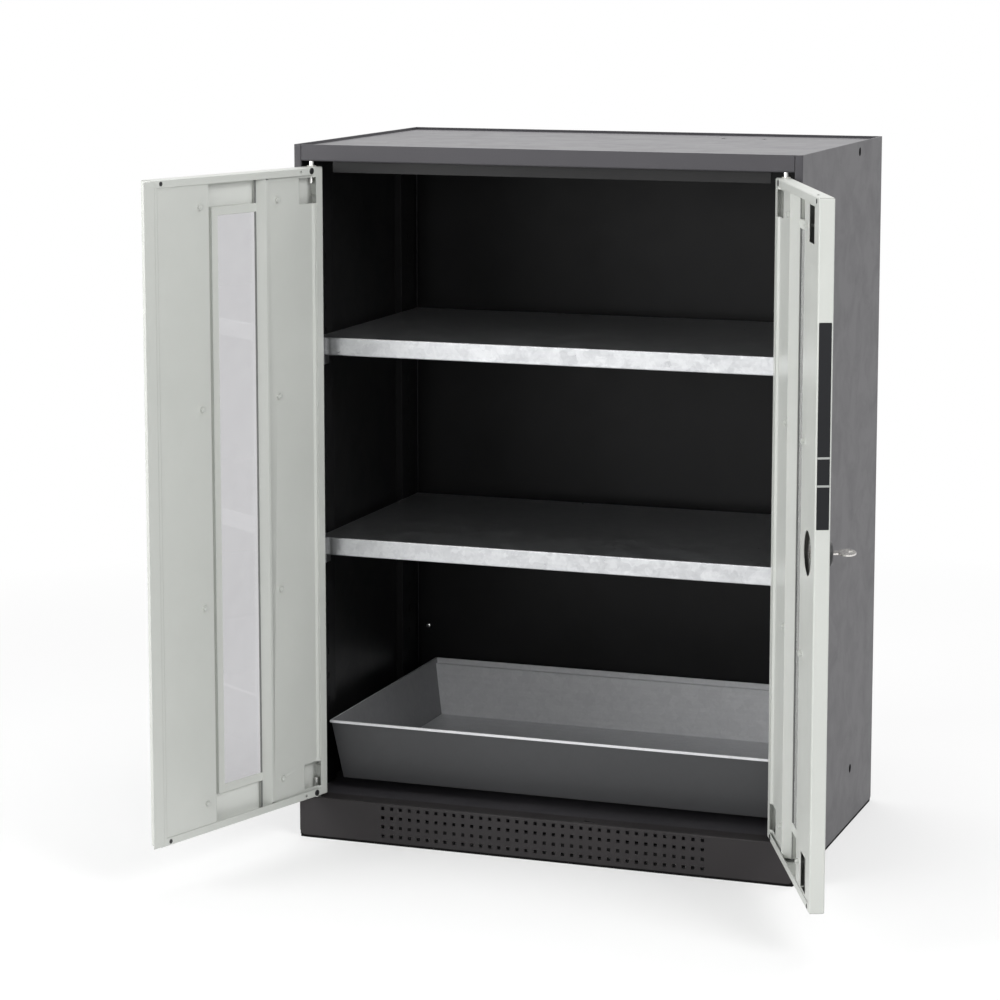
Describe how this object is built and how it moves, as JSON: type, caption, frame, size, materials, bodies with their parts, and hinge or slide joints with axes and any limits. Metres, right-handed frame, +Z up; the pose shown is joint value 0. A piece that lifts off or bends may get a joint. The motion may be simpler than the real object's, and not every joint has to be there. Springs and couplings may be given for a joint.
{
  "type": "chemical storage cabinet",
  "caption": "Low steel chemical cabinet with glazed double doors standing open, a key lock with rods, galvanised shelves, a spill tray and a perforated plinth.",
  "frame": {"origin": "middle of the cabinet's footprint at floor level", "axes": "+X to the right seen from the front, +Y to the back, +Z up"},
  "size_m": [1.0499, 0.8934, 1.105],
  "materials": {
    "body_enamel": "fine textured satin",
    "base_black": "satin",
    "door_enamel": "satin",
    "galvanised": "spangled zinc",
    "bright_steel": "zinc plated",
    "nickel": "polished",
    "black_plastic": "satin",
    "bush_plastic": "matte",
    "pane": "clear",
    "seal": "matte"
  },
  "bodies": {
    "carcass": {"base_frame": "base_black", "left_side_panel": "body_enamel", "right_side_panel": "body_enamel", "back_panel": "body_enamel", "top_panel": "body_enamel", "exhaust_knockout": "body_enamel", "top_rail": "body_enamel", "plinth_panel": "body_enamel", "plinth_stiffener": "body_enamel", "floor_pan": "body_enamel", "left_front_upright": "body_enamel", "left_back_upright": "body_enamel", "right_front_upright": "body_enamel", "right_back_upright": "body_enamel", "lower_shelf": "galvanised", "upper_shelf": "galvanised", "lower_shelf_clips": "galvanised", "upper_shelf_clips": "galvanised", "spill_tray": "galvanised", "tray_support_rails": "body_enamel", "left_hinge_pins": "bright_steel", "right_hinge_pins": "bright_steel"},
    "left_door": {"left_door_skin": "door_enamel", "left_door_inner_panel": "door_enamel", "left_door_cover": "door_enamel", "left_window_pane": "pane", "left_window_seal": "seal", "left_door_studs": "bright_steel", "left_hinge_brackets": "door_enamel", "left_hinge_bushes": "bush_plastic", "left_overlap_strip": "door_enamel"},
    "right_door": {"right_door_skin": "door_enamel", "right_door_inner_panel": "door_enamel", "right_door_cover": "door_enamel", "right_window_pane": "pane", "right_window_seal": "seal", "right_door_studs": "bright_steel", "right_hinge_brackets": "door_enamel", "right_hinge_bushes": "bush_plastic", "lock_rosette": "black_plastic", "lock_body": "bright_steel", "lock_rod_guides": "black_plastic"},
    "lock_barrel": {"lock_plug": "nickel", "lock_cam": "bright_steel"},
    "key": {"lock_key": "nickel"},
    "upper_rod": {"lock_upper_rod": "bright_steel"},
    "lower_rod": {"lock_lower_rod": "bright_steel"}
  },
  "joints": [
    {"name": "left_door_swing", "type": "hinge", "parent": "carcass", "child": "left_door", "pos_m": [-0.3785, -0.2525, 0], "axis": [0, 0, -1], "range_deg": [-107, 13]},
    {"name": "right_door_swing", "type": "hinge", "parent": "carcass", "child": "right_door", "pos_m": [0.3785, -0.2525, 0], "axis": [0, 0, 1], "range_deg": [-113.5, 6.5]},
    {"name": "lock_turn", "type": "hinge", "parent": "right_door", "child": "lock_barrel", "pos_m": [0.50979, -0.53563, 0.5715], "axis": [-0.9171, -0.3987, 0], "range_deg": [0, 90]},
    {"name": "key_withdraw", "type": "slide", "parent": "lock_barrel", "child": "key", "axis": [0.9171, 0.3987, 0], "range_m": [0, 0.03]},
    {"name": "upper_rod_slide", "type": "slide", "parent": "right_door", "child": "upper_rod", "axis": [0, 0, 1], "range_m": [0, 0.01795]},
    {"name": "lower_rod_slide", "type": "slide", "parent": "right_door", "child": "lower_rod", "axis": [0, 0, -1], "range_m": [0, 0.018]}
  ],
  "couplings": [
    {"joint": "lock_turn", "follows": "upper_rod_slide", "rad_per_m": 87.46},
    {"joint": "lower_rod_slide", "follows": "upper_rod_slide", "ratio": 1}
  ]
}
